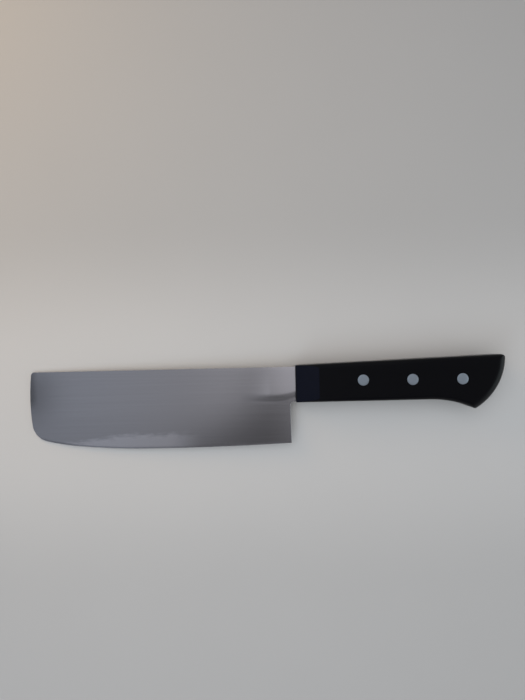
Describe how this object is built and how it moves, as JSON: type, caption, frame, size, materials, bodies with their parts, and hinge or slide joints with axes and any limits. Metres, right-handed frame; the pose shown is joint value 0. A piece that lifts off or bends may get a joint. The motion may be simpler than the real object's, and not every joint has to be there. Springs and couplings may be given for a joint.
{
  "type": "nakiri knife",
  "caption": "Japanese vegetable knife with a tall straight rectangular blade, a full tang and a black handle riveted on in two scales.",
  "frame": {"origin": "on the surface that the knife's handle lies on, under the middle of the whole knife seen from above", "axes": "+X along the knife from the blade to the butt, +Y from the edge to the spine, +Z out of the left side of the handle, square to the blade"},
  "size_m": [0.294, 0.0546, 0.018],
  "materials": {
    "blade_steel": "satin stainless steel, brushed along its length, with a cloudy band over the edge",
    "handle_plastic": "black moulded plastic with a fine satin surface",
    "rivet_steel": "stainless steel ground flush with the scale"
  },
  "bodies": {
    "root": {"blade": "blade_steel", "left_handle_scale": "handle_plastic", "right_handle_scale": "handle_plastic", "front_rivet_post": "rivet_steel", "front_rivet_barrel": "rivet_steel", "middle_rivet_post": "rivet_steel", "middle_rivet_barrel": "rivet_steel", "rear_rivet_post": "rivet_steel", "rear_rivet_barrel": "rivet_steel"}
  },
  "joints": []
}
